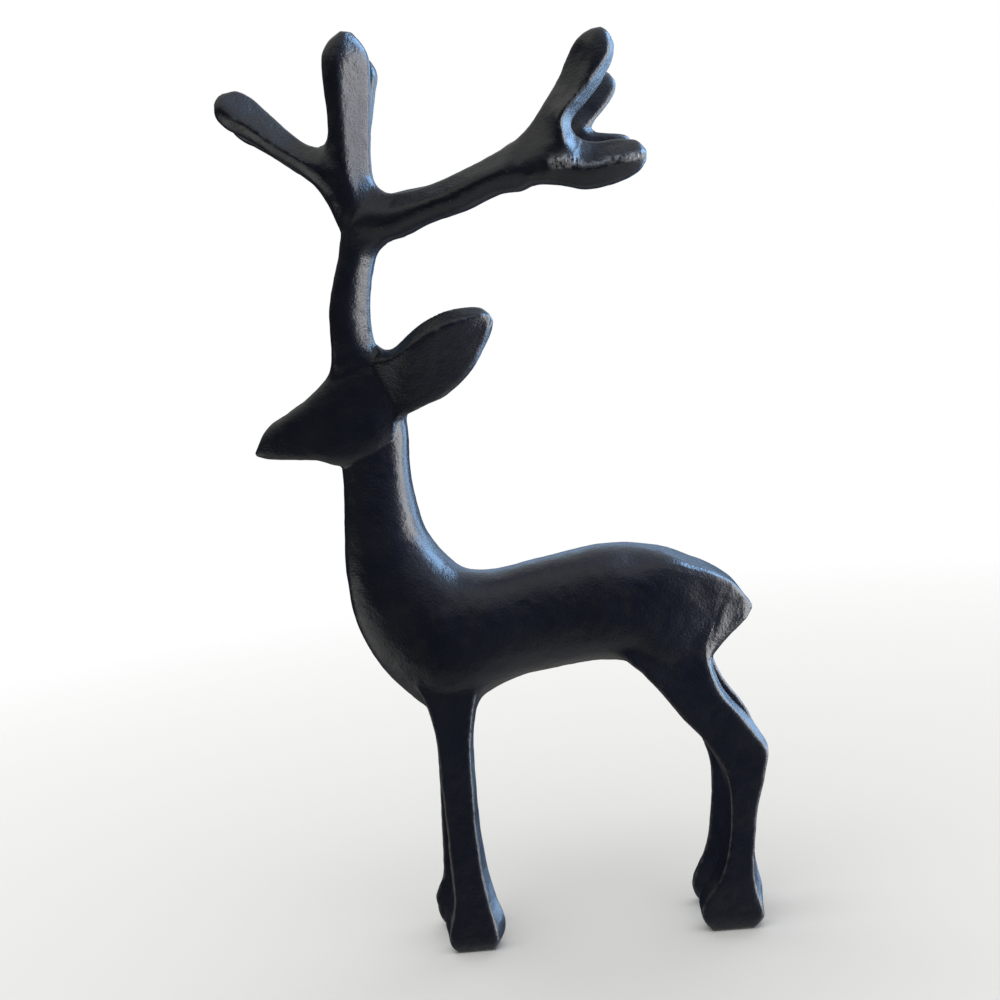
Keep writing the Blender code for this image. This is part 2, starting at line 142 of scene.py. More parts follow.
# The ribs run from back to belly, from the tail's tip to the poll.
wide, neck = TRUNK_HALF_WIDTH, NECK_HALF_WIDTH
trunk = loft(
    central_rows([
        (80.4, 111.8, 79.9, 110.4, 6.4, 12.0, NO_FACET),
        (79.0, 114.0, 77.8, 107.9, 8.0, 16.0, NO_FACET),
        (74.9, 120.2, 70.5, 101.9, 10.3, 16.0, NO_FACET),
        (69.0, 125.2, 63.0, 94.8, 12.4, 14.0, NO_FACET),
        (61.2, 129.4, 56.8, 89.8, wide - 2.7, 9.0, NO_FACET),
        (53.2, 133.6, 47.8, 90.8, wide - 1.3, 5.0, NO_FACET),
        (44.4, 136.4, 38.9, 95.2, wide - 0.3, 3.0, NO_FACET),
        (34.0, 137.8, 29.3, 97.6, wide, 2.8, NO_FACET),
        (23.4, 137.4, 20.5, 97.4, wide - 0.3, 2.7, NO_FACET),
        (13.3, 136.1, 10.1, 96.5, wide - 0.5, 2.7, NO_FACET),
        (3.4, 134.7, -0.6, 95.5, wide - 0.5, 2.7, NO_FACET),
        (-6.4, 133.3, -11.1, 92.2, wide, 2.7, NO_FACET),
        (-14.0, 133.8, -23.0, 86.6, wide, 2.7, NO_FACET),
        (-19.4, 135.4, -35.2, 86.0, wide - 0.5, 2.7, NO_FACET),
        (-23.2, 138.8, -43.6, 92.7, wide - 1.5, 2.7, NO_FACET),
        (-27.5, 144.6, -52.7, 104.4, wide - 3.0, 2.7, NO_FACET),
        (-30.9, 151.6, -58.5, 118.3, wide - 4.5, 2.7, NO_FACET),
        (-32.4, 159.8, -60.0, 137.1, neck + 1.8, 2.8, NO_FACET),
        (-33.1, 167.8, -58.8, 153.4, neck + 0.6, 2.8, NO_FACET),
        (-33.0, 175.7, -57.1, 168.3, neck - 0.4, 2.8, NO_FACET),
        (-32.2, 185.3, -56.3, 179.0, neck - 1.2, 2.8, NO_FACET),
        (-32.7, 195.0, -54.0, 188.1, neck - 1.8, 2.8, NO_FACET),
    ]),
    260,
)


# Head: a wedge-shaped slab with no features cut into it, cheeks standing a little proud of the neck.
# Its upper edge has a narrow bevel along the muzzle, where the pattern was eased to leave the sand.

HEAD_HALF_WIDTH = 11.0
MUZZLE_HALF_WIDTH = 6.5

cheek, nose = HEAD_HALF_WIDTH, MUZZLE_HALF_WIDTH
head = loft(
    [
        (x1, 0, z1, x2, 0, z2, thick, crisp, 0, 0, top, low, top, low)
        for x1, z1, x2, z2, thick, crisp, top, low in [
            (-30.4, 201.0, -37.0, 182.0, cheek - 1.0, 7.0, NO_FACET, 0.7),
            (-34.3, 209.3, -43.2, 177.2, cheek, 8.0, NO_FACET, 0.7),
            (-42.9, 212.6, -49.9, 175.5, cheek, 9.0, 1.4, 0.75),
            (-53.5, 210.2, -57.6, 176.6, cheek - 0.5, 9.0, 0.85, 0.9),
            (-64.3, 202.3, -64.3, 179.3, cheek - 1.8, 9.0, 0.8, 1.2),
            (-73.1, 197.4, -72.0, 180.4, nose + 1.6, 8.0, 0.75, 1.4),
            (-80.4, 193.7, -79.0, 181.1, nose + 0.4, 6.0, 0.7, 1.4),
            (-83.8, 189.9, -83.5, 182.0, nose - 0.6, 4.5, 0.8, 1.4),
            (-86.7, 185.0, -86.2, 183.2, nose - 2.0, 3.5, 0.9, 1.4),
        ]
    ],
    110,
)


# Ears: two leaf-shaped slabs laid back from the poll, their upper edges leaning outwards.
# Each is cast with the head and keeps an even thickness, with a crisp arris all round.

EAR_HALF_THICKNESS = 3.2
EAR_CRISPNESS = 12.0
FAR_EAR_STEP = -1.5         # the right ear sits this much further forward


def drawn_in(first, second, draft1, draft2):
    """A rib's points moved towards each other, to where its outer side ends when only its inner side reaches
    the outline."""
    first, second = np.array(first, float), np.array(second, float)
    across = unit(second - first)
    return (*(first + across * draft1), *(second - across * draft2))


def ear(side):
    """A leaf of slab section. Its ribs run from the upper edge to the lower, from the root to the tip, and
    end with the drafts of both edges."""
    thick = EAR_HALF_THICKNESS
    step = FAR_EAR_STEP if side == FAR else 0.0
    profile = [
        (-40.4, 7.0, 210.5, -37.4, 6.0, 190.4, thick, 1.0, 0.0),
        (-33.6, 11.0, 213.8, -30.9, 7.0, 191.9, thick, 2.2, 0.0),
        (-28.0, 14.5, 216.8, -24.2, 8.0, 194.3, thick, 3.0, 0.1),
        (-23.4, 16.5, 219.6, -17.5, 8.5, 196.6, thick, 3.2, 0.2),
        (-17.3, 17.5, 222.4, -10.5, 9.0, 201.2, thick, 3.2, 0.4),
        (-11.3, 17.5, 224.1, -5.3, 9.5, 206.4, thick, 3.0, 0.6),
        (-6.0, 16.5, 224.6, -1.4, 10.5, 212.1, thick - 0.2, 2.6, 0.8),
        (0.2, 14.0, 224.0, 2.1, 12.0, 217.4, thick - 0.8, 1.4, 0.9),
        (2.8, 13.0, 222.0, 3.2, 13.0, 220.3, thick - 1.6, 0.3, 0.3),
    ]
    rows = []
    for x1, y1, z1, x2, y2, z2, half, draft1, draft2 in profile:
        points = drawn_in((x1 + step, side * y1, z1), (x2 + step, side * y2, z2), draft1, draft2)
        rows.append((*points, half, EAR_CRISPNESS, draft1, draft2) + (NO_FACET,) * 4)
    return loft(rows, 120, side)


# Front legs: straight slabs down to flared hooves, with flat outer faces and drafted edges.
# The inner side of each reaches further than the outer one, so the edges catch light as narrow strips.

LEG_HALF_THICKNESS = 4.6
LEG_OUTER_FACE = 16.0       # distance of the legs' outer faces from the middle plane
SOLE_OVERRUN = 3.0          # how far a leg is lofted below the ground before the soles are cut flat
LEG_CRISPNESS = 12.0


def leg_rows(profile, side):
    """Rows of a leg from (x1, z1, x2, z2, outer face, half thickness, draft 1, draft 2, far step) ribs.

    The far step is how much further back the right leg stands than the left one.
    """
    rows = []
    for x1, z1, x2, z2, outer, thick, draft1, draft2, far_step in profile:
        y = side * (outer - thick)
        step = far_step if side == FAR else 0.0
        rows.append(
            (x1 + step, y, z1, x2 + step, y, z2, thick, LEG_CRISPNESS, draft1, draft2) + (NO_FACET,) * 4
        )
    return rows


def front_leg(side):
    """A straight slab down to a flared hoof. Its ribs run from the front edge to the back edge."""
    outer, thick = LEG_OUTER_FACE, LEG_HALF_THICKNESS
    return loft(
        leg_rows([
            (-44.5, 112.0, -13.0, 112.0, outer - 4.0, thick, 0.0, 0.0, 0.0),
            (-39.8, 97.8, -15.8, 98.6, outer - 2.4, thick, 0.0, 0.0, -1.0),
            (-35.6, 87.0, -19.2, 88.2, outer - 1.2, thick, 0.2, 0.2, -2.0),
            (-34.2, 76.0, -21.9, 76.0, outer - 0.4, thick, 0.4, 0.3, -3.0),
            (-34.4, 58.5, -23.3, 58.5, outer, thick, 0.6, 0.4, -3.6),
            (-34.5, 46.5, -24.0, 46.5, outer, thick, 0.8, 0.6, -4.2),
            (-34.6, 35.5, -24.0, 35.5, outer, thick, 1.3, 0.8, -4.6),
            (-34.7, 27.0, -23.8, 27.0, outer, thick, 1.6, 1.2, -4.9),
            (-34.9, 20.5, -23.1, 20.5, outer, thick, 2.2, 1.4, -5.0),
            (-35.5, 16.2, -22.7, 16.2, outer, thick, 4.0, 2.0, -5.0),
            (-36.4, 12.8, -22.2, 12.8, outer, thick, 4.8, 2.6, -5.0),
            (-37.7, 9.4, -21.8, 9.4, outer, thick, 3.2, 3.2, -5.0),
            (-38.7, 5.8, -21.4, 5.8, outer, thick, 1.7, 2.8, -5.0),
            (-38.2, 2.6, -21.4, 2.6, outer - 0.3, thick - 0.3, 1.0, 1.4, -5.0),
            (-36.4, 0.0, -23.0, 0.0, outer - 1.2, thick - 1.2, 0.6, 0.4, -5.0),
            (-36.0, -SOLE_OVERRUN, -23.6, -SOLE_OVERRUN, outer - 1.6, thick - 1.6, 0.6, 0.4, -5.0),
        ], side),
        160,
        side,
    )


# Hind legs: thigh, hock and cannon in one bent slab each, down to a hoof that is longer than the front ones.
# The thigh's outer face runs out flush into the rump, and its back edge is drafted into a bright strip.


def hind_leg(side):
    """A slab bent at the hock. Its ribs run from the front edge to the back edge."""
    outer, thick = LEG_OUTER_FACE, LEG_HALF_THICKNESS
    return loft(
        leg_rows([
            (31.0, 120.0, 70.0, 115.5, outer - 4.5, thick + 0.6, 0.0, 0.0, 0.0),
            (31.8, 109.6, 66.1, 105.4, outer - 2.6, thick + 1.0, 0.0, 0.4, 0.0),
            (33.4, 100.6, 63.3, 98.9, outer - 1.4, thick + 1.0, 0.2, 1.2, 0.6),
            (40.1, 92.9, 63.8, 90.0, outer - 0.7, thick + 0.8, 0.4, 1.8, 1.2),
            (46.6, 84.4, 66.8, 82.0, outer - 0.2, thick + 0.4, 0.8, 2.0, 1.4),
            (51.9, 76.8, 71.9, 75.2, outer, thick, 1.0, 2.0, 0.4),
            (57.3, 69.8, 76.4, 68.0, outer, thick, 1.2, 1.6, -0.6),
            (60.8, 64.2, 79.4, 62.6, outer, thick, 1.4, 0.8, -1.8),
            (63.6, 58.2, 78.2, 56.7, outer, thick, 1.7, 0.4, -2.6),
            (64.9, 51.7, 76.3, 49.9, outer, thick, 1.7, 0.3, -3.0),
            (64.7, 43.2, 73.8, 42.3, outer, thick, 1.7, 0.3, -3.4),
            (63.4, 34.4, 72.2, 33.7, outer, thick, 1.7, 0.5, -3.6),
            (61.4, 25.8, 70.7, 25.4, outer, thick, 1.9, 1.2, -3.2),
            (58.2, 18.8, 70.2, 18.4, outer, thick, 2.2, 2.4, -2.4),
            (53.8, 13.4, 70.6, 12.8, outer, thick, 1.6, 2.8, -1.6),
            (50.8, 8.2, 71.8, 7.4, outer, thick, 0.6, 1.0, -1.2),
            (51.3, 3.6, 71.8, 3.6, outer - 0.3, thick - 0.3, 0.0, 0.0, -1.2),
            (53.8, 0.0, 68.4, 0.0, outer - 1.2, thick - 1.2, 0.0, 0.0, -1.2),
            (54.2, -SOLE_OVERRUN, 67.6, -SOLE_OVERRUN, outer - 1.6, thick - 1.6, 0.0, 0.0, -1.2),
        ], side),
        220,
        side,
    )


# Antlers: each is a stem that forks into a front tine, an upright middle tine and a beam sweeping back,
# which forks again. All are rods with hand-cut flats, so one side of a rod stays dark beside a bright one.
# They are cast with the head, and the crotches are filled round.

ANTLER_HALF_THICKNESS = 5.6
ANTLER_ROOT_SPREAD = 6.5    # distance of an antler's root from the middle plane
MIDDLE_TINE_SPREAD = 15.5   # distance of the middle tines' tips from the middle plane
REAR_TINE_SPREAD = 32.0     # distance of the rear tines' tips from the middle plane
INNER_FACET = 0.9


def tine_rows(profile, side, crispness):
    """Rows of an antler's rod from its ribs.

    A rib is (x1, z1, x2, z2, out, half thickness, far step, far lift, facet 1, facet 2, draft 2). "out" is
    the rib's distance from the middle plane, and the far antler has the rib further back and higher.
    """
    rows = []
    for x1, z1, x2, z2, out, thick, far_step, far_lift, facet1, facet2, draft2 in profile:
        step, lift = (far_step, far_lift) if side == FAR else (0.0, 0.0)
        y = side * out
        points = drawn_in((x1 + step, y, z1 + lift), (x2 + step, y, z2 + lift), 0.0, draft2)
        rows.append(
            (*points, thick, crispness, 0, draft2, facet1, facet2, INNER_FACET, INNER_FACET)
        )
    return rows


def middle_tine(side):
    """The stem and its upright middle tine. Its ribs run from the front edge to the back edge."""
    thick = ANTLER_HALF_THICKNESS
    root = ANTLER_ROOT_SPREAD
    tip = MIDDLE_TINE_SPREAD
    return loft(
        tine_rows([
            (-53.9, 201.3, -37.3, 202.8, root - 3.0, thick - 0.8, -1.0, 0.0, 0.9, 0.9, 0.0),
            (-54.5, 211.6, -37.9, 213.6, root - 1.2, thick, -1.5, 0.0, 0.85, 0.5, 0.0),
            (-53.4, 219.1, -38.9, 218.6, root, thick, -2.0, 0.0, 0.8, 0.3, 0.0),
            (-51.8, 232.0, -38.6, 230.3, root + 0.6, thick, -2.2, 0.0, 0.8, 0.25, 0.0),
            (-48.5, 242.2, -36.5, 240.0, root + 1.2, thick, -2.4, 0.0, 0.8, 0.25, 0.0),
            (-45.4, 251.0, -33.4, 248.7, root + 1.8, thick, -2.8, 0.0, 0.7, 0.3, 0.0),
            (-43.9, 258.2, -31.5, 256.6, root + 2.4, thick, -3.2, 0.0, 0.6, 0.3, 0.0),
            (-43.8, 266.9, -31.0, 265.2, root + 3.0, thick, -3.8, 0.0, 0.4, 0.1, 0.0),
            (-44.6, 275.4, -31.5, 272.6, tip - 5.0, thick, -4.2, 0.0, 0.3, -0.1, 0.0),
            (-44.1, 285.1, -30.7, 281.6, tip - 3.8, thick + 0.1, -4.2, 0.0, 0.3, -0.15, 0.0),
            (-43.1, 296.4, -29.0, 292.8, tip - 2.6, thick + 0.3, -3.4, 0.0, 0.3, -0.2, 0.0),
            (-42.8, 307.7, -27.2, 304.4, tip - 1.3, thick + 0.4, -2.6, 0.0, 0.35, -0.2, 0.0),
            (-41.4, 314.5, -26.9, 311.8, tip - 0.5, thick, -1.5, 0.0, 0.4, -0.1, 0.0),
            (-38.4, 318.0, -28.4, 316.1, tip - 0.1, thick - 1.4, -1.5, 0.0, 0.5, 0.0, 0.0),
            (-34.6, 320.2, -30.8, 319.5, tip, thick - 3.2, -1.5, 0.0, 0.6, 0.2, 0.0),
        ], side, 8.0),
        170,
        side,
    )


def front_tine(side):
    """The tine over the brow. Its ribs run from the upper edge to the lower one."""
    thick = ANTLER_HALF_THICKNESS
    out = ANTLER_ROOT_SPREAD + 3.5
    return loft(
        tine_rows([
            (-32.1, 266.7, -42.9, 254.7, out - 0.5, thick - 0.4, -3.4, 0.0, 0.3, 0.5, 0.0),
            (-40.0, 277.2, -48.1, 268.8, out, thick - 0.4, -3.0, 0.0, 0.1, 0.4, 0.0),
            (-47.7, 283.5, -53.1, 275.2, out + 0.3, thick - 0.8, -1.5, 0.0, -0.1, 0.3, 0.0),
            (-54.2, 288.4, -60.1, 281.5, out + 0.6, thick - 1.0, -1.0, 0.0, -0.3, 0.3, 0.0),
            (-59.0, 293.4, -66.0, 286.3, out + 0.9, thick - 0.7, -1.0, 0.0, -0.35, 0.35, 0.0),
            (-64.6, 299.9, -72.8, 291.6, out + 1.2, thick - 0.2, -1.0, 0.0, -0.35, 0.35, 0.0),
            (-69.4, 305.2, -78.7, 295.5, out + 1.5, thick, -1.0, 0.0, -0.3, 0.4, 0.0),
            (-73.9, 307.6, -81.4, 299.7, out + 1.8, thick - 0.8, -1.0, 0.0, -0.1, 0.5, 0.0),
            (-78.0, 307.1, -81.2, 303.6, out + 2.0, thick - 2.8, -1.0, 0.0, 0.3, 0.6, 0.0),
        ], side, 8.0),
        110,
        side,
    )


def rear_tine(side):
    """The beam that sweeps back and turns up as the rear tine. Its ribs run from upper to lower edge."""
    thick = ANTLER_HALF_THICKNESS
    root = ANTLER_ROOT_SPREAD
    tip = REAR_TINE_SPREAD
    return loft(
        tine_rows([
            (-39.4, 264.7, -38.4, 252.1, root + 2.6, thick, -3.0, 1.5, 0.3, 0.5, 0.0),
            (-25.2, 266.1, -25.5, 251.4, root + 5.5, thick, -2.5, 3.6, 0.1, 0.5, 0.0),
            (-13.7, 266.5, -13.9, 254.5, root + 9.0, thick - 0.2, -1.5, 4.8, 0.0, 0.5, 0.0),
            (-2.1, 269.0, -1.0, 256.3, root + 13.0, thick - 0.2, -0.5, 6.2, 0.0, 0.45, 0.0),
            (9.4, 272.0, 11.1, 259.7, tip - 8.5, thick, 0.0, 7.4, 0.0, 0.4, 0.0),
            (18.2, 275.3, 21.2, 260.3, tip - 6.0, thick, 0.0, 8.4, -0.1, 0.5, 0.0),
            (24.8, 280.2, 36.6, 268.6, tip - 4.4, thick, 1.5, 7.6, -0.4, NO_FACET, 1.6),
            (29.8, 286.3, 37.4, 277.4, tip - 3.2, thick, 2.2, 5.6, -0.7, NO_FACET, 2.4),
            (34.8, 292.6, 43.6, 283.6, tip - 2.0, thick, 1.8, 3.6, -0.8, NO_FACET, 2.6),
            (39.1, 299.0, 49.4, 289.4, tip - 1.0, thick + 0.2, 1.4, 2.0, -0.5, NO_FACET, 2.4),
            (43.1, 303.4, 54.0, 296.8, tip - 0.4, thick - 0.4, 1.2, 1.0, 0.1, 1.0, 1.4),
            (47.2, 305.2, 54.0, 301.0, tip, thick - 1.6, 1.0, 0.5, 0.3, 0.7, 0.6),
            (50.0, 305.3, 52.6, 303.7, tip, thick - 3.2, 1.0, 0.5, 0.5, 0.5, 0.0),
        ], side, 10.0),
        170,
        side,
    )


def low_tine(side):
    """The short tine that runs on level from the fork. Its ribs run from the upper to the lower edge."""
    thick = ANTLER_HALF_THICKNESS
    tip = REAR_TINE_SPREAD - 2.0
    return loft(
        tine_rows([
            (20.1, 274.4, 20.8, 261.3, tip - 4.5, thick - 0.4, 0.0, 8.4, 0.1, 0.5, 0.0),
            (34.1, 271.3, 31.0, 259.7, tip - 2.5, thick, 0.0, 9.8, -0.1, 0.4, 0.0),
            (43.8, 271.4, 39.2, 257.1, tip - 1.5, thick, -0.5, 10.8, -0.3, 0.3, 0.0),
            (50.2, 271.4, 45.3, 257.1, tip - 0.8, thick + 0.2, -1.0, 11.0, -0.3, 0.3, 0.0),
            (55.2, 270.6, 51.8, 258.1, tip - 0.3, thick, -1.0, 11.0, -0.2, 0.3, 0.0),
            (58.6, 268.9, 58.2, 260.6, tip, thick - 1.4, -1.0, 11.0, 0.1, 0.4, 0.0),
            (60.5, 265.8, 60.2, 262.9, tip, thick - 3.2, -1.0, 11.0, 0.4, 0.5, 0.0),
        ], side, 14.0),
        90,
        side,
    )


# One pour: the limbs are joined in the pattern with fillets of wax, so the casting has no seams.
# Each limb becomes a field of distances to its surface, the fields are blended round where limbs meet,
# and the ground cuts the soles flat.

BACKWARD_SHIFT = 3.1        # added to every X, so that nose and tail are equally far from the origin
VOXEL = 0.5
OUTER_BAND = 11.0           # distances are worked out this far outside a surface, further than any fillet
INNER_BAND = 3.0            # and this far inside
MARGIN = 13.0               # room left round each limb
SLOPE_REACH = 1.5           # a field's slope is taken between places this far away on both sides

LEG_FILLET = 8.0
HEAD_FILLET = 1.6
EAR_FILLET = 5.0
TINE_FILLET = 10.0

body = [(trunk, 0.0), (head, HEAD_FILLET)]
body += [(leg(side), LEG_FILLET) for leg in (front_leg, hind_leg) for side in (NEAR, FAR)]
body += [(ear(side), EAR_FILLET) for side in (NEAR, FAR)]
antlers = [
    [(tine(side), TINE_FILLET) for tine in (middle_tine, rear_tine, front_tine, low_tine)]
    for side in (NEAR, FAR)
]

every_point = np.concatenate([limb[0] for limb, fillet in sum(antlers, body)])
origin = np.floor((every_point.min(axis=0) - MARGIN) / VOXEL).astype(int)
size = np.ceil((every_point.max(axis=0) + MARGIN) / VOXEL).astype(int) - origin
spacing = openvdb.createLinearTransform(voxelSize=VOXEL)


def distance_block(limb):
    """The part of the grid round a limb, as slices, and the distance from its surface all through it."""
    points, quads, triangles = limb
    level_set = openvdb.FloatGrid.createLevelSetFromPolygons(
        points=points.astype(np.float32),
        triangles=triangles.astype(np.uint32),
        quads=quads.astype(np.uint32),
        transform=spacing,
        exBandWidth=OUTER_BAND / VOXEL,
        inBandWidth=INNER_BAND / VOXEL,
    )
    low = np.floor((points.min(axis=0) - MARGIN) / VOXEL).astype(int)
    high = np.ceil((points.max(axis=0) + MARGIN) / VOXEL).astype(int)
    block = np.empty(high - low, np.float32)
    level_set.copyToArray(block, ijk=tuple(int(k) for k in low))
    return tuple(slice(a, b) for a, b in zip(low - origin, high - origin)), block


def slopes(field, cells):
    """Unit vectors along which a field of distances grows, at some of its cells."""
    reach = max(1, round(SLOPE_REACH / VOXEL))
    steps = []
    for axis in range(3):
        ahead, behind = list(cells), list(cells)
        ahead[axis] = np.minimum(cells[axis] + reach, field.shape[axis] - 1)
        behind[axis] = np.maximum(cells[axis] - reach, 0)
        steps.append(field[tuple(ahead)] - field[tuple(behind)])
    return unit(np.stack(steps, axis=1))


def join(field, limb, fillet):
    """Blends a limb into the field, in place.

    The nearer distance is kept, less (r - |a - b|)^2 / 4r where the two differ by less than r. The fillet
    r is full where the surfaces turn away from each other and shrinks to nothing where they run flush.
    Only places near the joined surface are blended.
    """
    block, new = distance_block(limb)
    old = field[block]
    nearer = np.minimum(old, new)
    if fillet:
        apart = np.abs(old - new)
        cells = np.nonzero((nearer > -2.0) & (nearer < fillet / 4 + 1.0) & (apart < fillet))
        alike = (slopes(old, cells) * slopes(new, cells)).sum(axis=1)
        radius = fillet * np.clip(1 - alike, 0.05, 1)
        nearer[cells] -= np.maximum(radius - apart[cells], 0) ** 2 / (4 * radius)
    old[...] = nearer


field = np.full(size, OUTER_BAND, np.float32)
for limb, fillet in body:
    join(field, limb, fillet)

# Each antler is filleted to the head in a field of its own, so that no web grows between the two.
with_antler = []
for antler in antlers:
    field_there = field.copy()
    for limb, fillet in antler:
        join(field_there, limb, fillet)
    with_antler.append(field_there)
field = np.minimum(*with_antler)
heights = (np.arange(size[2]) + origin[2]) * VOXEL
np.maximum(field, -heights.astype(np.float32), out=field)

level_set = openvdb.FloatGrid(OUTER_BAND)
level_set.copyFromArray(field, ijk=tuple(int(k) for k in origin))
level_set.transform = spacing
level_set.gridClass = openvdb.GridClass.LEVEL_SET
skin, _, quads = level_set.convertToPolygons()
quads = quads.astype(int)[:, ::-1]


def largest_piece(points, quads):
    """The points and quads of the largest connected piece: every point takes the lowest number among its
    neighbours until nothing changes, and the commonest number is kept."""
    number = np.arange(len(points))
    edges = np.concatenate([quads[:, [k, (k + 1) % 4]] for k in range(4)])
    while True:
        lowest = number.copy()
        shared = np.minimum(number[edges[:, 0]], number[edges[:, 1]])
        np.minimum.at(lowest, edges[:, 0], shared)
        np.minimum.at(lowest, edges[:, 1], shared)
        lowest = lowest[lowest]
        if (lowest == number).all():
            break
        number = lowest
    kept = number == np.bincount(number).argmax()
    return points[kept], (np.cumsum(kept) - 1)[quads[kept[quads[:, 0]]]]


skin, quads = largest_piece(skin, quads)


# Sand-cast skin: the mould leaves the surface softly uneven, with shallow lumps and pits, and only the
# soles are dressed flat. The unevenness is real shape here, and the finest grain is left to the paint.

UNEVENNESS = ((16.0, 0.20), (7.0, 0.12), (3.2, 0.08), (1.8, 0.06))      # spacing and depth, mm
SOLE_FADE = 1.5             # the unevenness fades out this near the ground
ARRIS_BEND = (0.18, 0.50)   # 1/mm: how sharply the surface bends where an arris begins and is full
ARRIS_SHARE = 0.10          # how much bare iron shows along an arris, partly as wear and partly as a painted highlight
TINE_HIGHLIGHT_EDGE = ((31.0, -34.0, 265.7), (58.0, -36.0, 264.5))   # the near low tine's outer arris, mm, where a painted highlight lies
TINE_HIGHLIGHT_REACH = 1.6           # half width of the painted highlight strip along it
TOOTH_PITCH, TOOTH_DEPTH = 1.25, 0.20
KEPT_TRIANGLES = 190_000


def lattice_noise(points, spacing, seed):
    """A smooth random height from -1 to 1 at every point.

    Random values sit on a cubic lattice, and a point blends the eight round it, each by the product over
    the axes of 3t^2 - 2t^3, where t is how far along that axis the point is.
    """
    values = np.random.default_rng(seed).uniform(-1, 1, (64, 64, 64)).astype(np.float32)
    at = points / spacing
    cell = np.floor(at).astype(int)
    t = at - cell
    t = t * t * (3 - 2 * t)
    height = np.zeros(len(points))
    for corner in np.ndindex(2, 2, 2):
        weight = np.where(corner, t, 1 - t).prod(axis=1)
        x, y, z = ((cell + corner) % 64).T
        height += weight * values[x, y, z]
    return height


def summed_at(index, amounts, count):
    """The sum of each column of amounts over the rows that share an index."""
    return np.stack([np.bincount(index, column, count) for column in amounts.T], axis=1)


def vertex_normals(points, quads):
    """Each vertex's outward direction: the sum of its faces' diagonals' cross products, made a unit long."""
    a, b, c, d = (points[quads[:, k]] for k in range(4))
    across = np.cross(c - a, d - b)
    return unit(sum(summed_at(quads[:, k], across, len(points)) for k in range(4)))


def convexity(points, normals, quads):
    """How strongly the surface bends away from its outside at each vertex, in 1/mm.

    Along an edge it is the difference of the normals times the edge, over the edge's length squared. A
    vertex takes the mean over its edges, and then the mean with its neighbours, twice.
    """
    total = np.zeros((len(points), 1))
    count = np.zeros((len(points), 1))
    edges = [(quads[:, k], quads[:, (k + 1) % 4]) for k in range(4)]
    for a, b in edges:
        along = points[b] - points[a]
        length_squared = np.maximum((along * along).sum(axis=1), 1e-9)
        bend = ((normals[b] - normals[a]) * along).sum(axis=1) / length_squared
        for end in (a, b):
            total += summed_at(end, bend[:, None], len(points))
            count += summed_at(end, np.ones((len(quads), 1)), len(points))
    bent = total / count
    for _ in range(2):
        total = bent * count
        for a, b in edges:
            total += summed_at(a, bent[b], len(points)) + summed_at(b, bent[a], len(points))
        bent = total / (2 * count)
    return bent[:, 0]


normals = vertex_normals(skin, quads)
arris = np.clip((convexity(skin, normals, quads) - ARRIS_BEND[0]) / (ARRIS_BEND[1] - ARRIS_BEND[0]), 0, 1)
# Bare iron along every arris: partly wear, partly a painted highlight on the bright edges.
wear_and_highlight = ARRIS_SHARE * arris

# A painted highlight: a strip of bare iron along the near low tine's outer arris, on its near side only,
# stands for the bright edge there. Shallow teeth are cut along the same strip.
highlight_start, highlight_end = np.array(TINE_HIGHLIGHT_EDGE[0]), np.array(TINE_HIGHLIGHT_EDGE[1])
highlight_length = np.linalg.norm(highlight_end - highlight_start)
highlight_way = (highlight_end - highlight_start) / highlight_length
along = (skin - highlight_start) @ highlight_way
off = np.linalg.norm(skin - highlight_start - np.clip(along, 0, highlight_length)[:, None] * highlight_way, axis=1)
highlight_strip = np.clip(1.6 - off / TINE_HIGHLIGHT_REACH, 0, 1) * np.clip(-2 * normals[:, 1] - 0.6, 0, 1)
wear_and_highlight = np.maximum(wear_and_highlight, highlight_strip)
relief = sum(
    depth * lattice_noise(skin, spacing_mm, seed) for seed, (spacing_mm, depth) in enumerate(UNEVENNESS)
)
relief += highlight_strip * TOOTH_DEPTH * (np.abs((along / TOOTH_PITCH) % 1.0 - 0.5) * 4 - 1)
relief *= np.clip(skin[:, 2] / SOLE_FADE, 0, 1)
skin = skin + normals * relief[:, None]
skin[:, 2] = np.maximum(skin[:, 2], 0.0)


def metre(millimetres):
    return millimetres * 0.001


def mesh_object(name, points, faces):
    """A smooth-shaded object at the origin, from points in metres and faces."""
    mesh = bpy.data.meshes.new(name)
    mesh.from_pydata(points, [], faces)
    mesh.shade_smooth()
    piece = bpy.data.objects.new(name, mesh)
    bpy.context.scene.collection.objects.link(piece)
    return piece


stag = mesh_object("stag_casting", metre(skin + np.array([BACKWARD_SHIFT, 0.0, 0.0])), quads)
# This attribute carries the bare iron of the arris wear and of the painted highlights.
stag.data.attributes.new("wear_and_highlight", "FLOAT", "POINT").data.foreach_set("value", wear_and_highlight.astype(np.float32))
thin = stag.modifiers.new("thin", "DECIMATE")
thin.ratio = min(1.0, KEPT_TRIANGLES / (2 * len(quads)))
level = stag.modifiers.new("level", "WEIGHTED_NORMAL")
level.mode = "FACE_AREA_WITH_ANGLE"

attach(stag, "root")
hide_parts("stag")


# Black satin paint, brushed thinly over the bare casting, so that the sand's grain still shows.
# It is a near-black with a touch of blue, rubbed through to grey iron in places along the arrises, partly as
# wear and partly as a painted highlight; the bare strip along the near low tine's outer arris is a painted
# highlight.

PAINT_COLOUR = (0.0040, 0.0054, 0.0112, 1.0)
DUSTY_COLOUR = (0.011, 0.012, 0.013, 1.0)
# Bare iron, for wear on the arrises and for painted highlights.
IRON_AND_HIGHLIGHT_COLOUR = (0.55, 0.55, 0.56, 1.0)
PAINT_ROUGHNESS = (0.26, 0.40)
GRAIN_SPACING = 0.9         # mm
GRAIN_DEPTH = 0.14          # mm

paint = bpy.data.materials.new("black_satin_paint")
paint.use_nodes = True
nodes, links = paint.node_tree.nodes, paint.node_tree.links
shader = nodes["Principled BSDF"]
place = nodes.new("ShaderNodeTexCoord")


# These helpers add to whichever material or world nodes, links and place belong to when they are called.


